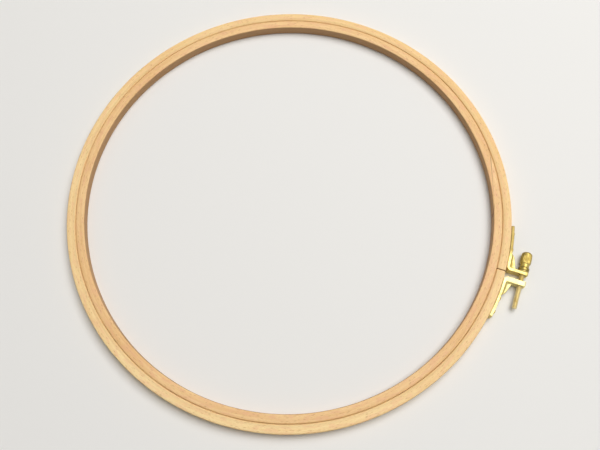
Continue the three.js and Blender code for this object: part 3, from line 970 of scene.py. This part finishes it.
def thumb_knob():
    """The turned knob, its head cut into straight ridges for the fingers."""
    columns_a_ridge = 8
    piece = turned("clamp_knob", knob_profile(), RIDGES * columns_a_ridge, knob_brass)
    sizes = {
        "Knob radius": KNOB_RADIUS * MM,
        "Ridges": RIDGES,
        "Depth": RIDGE_DEPTH * MM,
        "Head from": HEAD_FROM * MM,
    }
    tree, size = new_tree("knob_ridges_tree", sizes)
    here = add_node(tree, "GeometryNodeInputPosition")
    off = add_node(tree, VECTOR, here, SCREW_AXIS, operation="SUBTRACT")
    off = add_node(tree, SEPARATE, off).outputs
    angle = add_node(tree, MATH, off["X"], off["Z"], operation="ARCTAN2")
    # A sharp valley between rounded ridges
    half_turns = add_node(tree, MATH, size["Ridges"], 0.5, operation="MULTIPLY")
    phase = add_node(tree, MATH, angle, half_turns, operation="MULTIPLY")
    wave = add_node(tree, MATH, phase, operation="COSINE")
    wave = add_node(tree, MATH, wave, operation="ABSOLUTE")
    valley = add_node(tree, MATH, 1.0, wave, operation="SUBTRACT")
    cut = add_node(tree, MATH, valley, size["Depth"], operation="MULTIPLY")
    on_head = add_node(tree, MATH, off["Y"], size["Head from"], operation="GREATER_THAN")
    cut = add_node(tree, MATH, cut, on_head, operation="MULTIPLY")
    limit = add_node(tree, MATH, size["Knob radius"], cut, operation="SUBTRACT")
    flat = add_node(tree, COMBINE, off["X"], 0.0, off["Z"])
    radius = add_node(tree, VECTOR, flat, operation="LENGTH").outputs["Value"]
    over = add_node(tree, MATH, radius, limit, operation="SUBTRACT")
    over = add_node(tree, MATH, over, 0.0, operation="MAXIMUM")
    outwards = add_node(tree, VECTOR, flat, operation="NORMALIZE")
    back = add_node(tree, MATH, over, -1.0, operation="MULTIPLY")
    pull = add_node(tree, VECTOR, outwards, named={"Scale": back}, operation="SCALE")
    shape = add_node(tree, "GeometryNodeSetPosition", size["Geometry"], named={"Offset": pull})
    end_tree(tree, shape, knob_brass)
    settle(use_tree(piece, tree, sizes))
    give(piece, "brass_turned", "clamp_screw", "thumb_knob")


thumb_knob()


# The stage, in metres: a plain pale floor, a pale surround and a soft light from the upper right

FLOOR_HALF = 3.0
FLOOR_DROP = 0.00005
FAR_FROM, FAR_TO = 0.35, 1.3  # where the floor goes over into the surround
HORIZON = linear("F4F4F2")
SURROUND_TOP = linear("B4B4B2")
SURROUND_LIGHT = 0.22  # the strength with which the surround lights the object
SENSOR, LENS = 36.0, 41.096  # millimetres
CAMERA_PLACE = (0.05942, -0.15517, 0.46918)
CAMERA_TURNS = ((23.4706, "Z"), (18.21741, "X"), (-0.80784, "Y"), (-4.80147, "Z"))


def seen_share(tree):
    """1 for what the camera sees, straight or in metal and glass, and 0 for light on the object."""
    ray = add_node(tree, "ShaderNodeLightPath").outputs
    seen = add_node(tree, MATH, ray["Is Camera Ray"], ray["Is Glossy Ray"], operation="ADD")
    return add_node(tree, MATH, seen, ray["Is Transmission Ray"], operation="ADD", use_clamp=True)


# Painted board, dull and slightly warm. Far off, where the lamps don't reach, it looks like the
# surround, which hides the horizon.
floor_finish, floor_tree = new_finish("floor_matt_board")
named = {"Base Color": linear("EEECE8"), "Roughness": 0.9}
board = add_node(floor_tree, "ShaderNodeBsdfPrincipled", named=named)
off = add_node(floor_tree, "ShaderNodeTexCoord").outputs["Object"]
off = add_node(floor_tree, VECTOR, off, operation="LENGTH")
far = add_node(floor_tree, RANGE, off, FAR_FROM, FAR_TO, **SMOOTH)
far = add_node(floor_tree, MATH, far, seen_share(floor_tree), operation="MULTIPLY")
surround = add_node(floor_tree, "ShaderNodeEmission", HORIZON, 1.0)
board = add_node(floor_tree, "ShaderNodeMixShader", far, board, surround)
add_node(floor_tree, "ShaderNodeOutputMaterial", board)
floor = start_piece("floor")
floor_corners = [
    (x * FLOOR_HALF, y * FLOOR_HALF, -FLOOR_DROP) for x, y in ((-1, -1), (1, -1), (1, 1), (-1, 1))
]
floor.data.from_pydata(floor_corners, [], [(0, 1, 2, 3)])
floor.data.materials.append(floor_finish)


def soft_light(name, target, azimuth, elevation, distance, size, power):
    """A square soft light aimed at target, from azimuth (0 is +X, 90 is +Y) and elevation."""
    lamp = bpy.data.lights.new(name, "AREA")
    lamp.shape = "SQUARE"
    lamp.size = size
    lamp.energy = power
    a, e = math.radians(azimuth), math.radians(elevation)
    away = Vector((math.cos(a) * math.cos(e), math.sin(a) * math.cos(e), math.sin(e)))
    light = bpy.data.objects.new(name, lamp)
    light.location = Vector(target) + away * distance
    light.rotation_mode = "QUATERNION"
    light.rotation_quaternion = away.to_track_quat("Z", "Y")
    bpy.context.scene.collection.objects.link(light)


soft_light(
    "key", (0.05, 0.0, 0.0), azimuth=58, elevation=67, distance=2.2, size=1.8, power=49.5
)
soft_light("fill", (0.0, 0.0, 0.0), azimuth=190, elevation=55, distance=2.6, size=2.0, power=5.0)

world = bpy.data.worlds.new("surround")
bpy.context.scene.world = world
world.use_nodes = True
sky = world.node_tree
sky.nodes.clear()
up = add_node(sky, "ShaderNodeTexCoord").outputs["Generated"]
up = add_node(sky, SEPARATE, up).outputs["Z"]
up = add_node(sky, RANGE, up, 0.0, 0.9)
named = {"Factor": up, "A": HORIZON, "B": SURROUND_TOP}
shade = add_node(sky, MIX, named=named, data_type="RGBA")
level = add_node(sky, RANGE, seen_share(sky), 0.0, 1.0, SURROUND_LIGHT, 1.0)
background = add_node(sky, "ShaderNodeBackground", shade, level)
add_node(sky, "ShaderNodeOutputWorld", background)

# The camera, where the photograph's was
camera_data = bpy.data.cameras.new("camera")
camera_data.sensor_width = SENSOR
camera_data.lens = LENS
camera_data.clip_start, camera_data.clip_end = 0.01, 20
camera = bpy.data.objects.new("camera", camera_data)
rotation = Matrix.Identity(4)
for degrees, axis in CAMERA_TURNS:
    rotation = rotation @ Matrix.Rotation(math.radians(degrees), 4, axis)
camera.matrix_world = Matrix.Translation(CAMERA_PLACE) @ rotation
bpy.context.scene.collection.objects.link(camera)
bpy.context.scene.camera = camera
bpy.context.scene.view_settings.view_transform = "Standard"
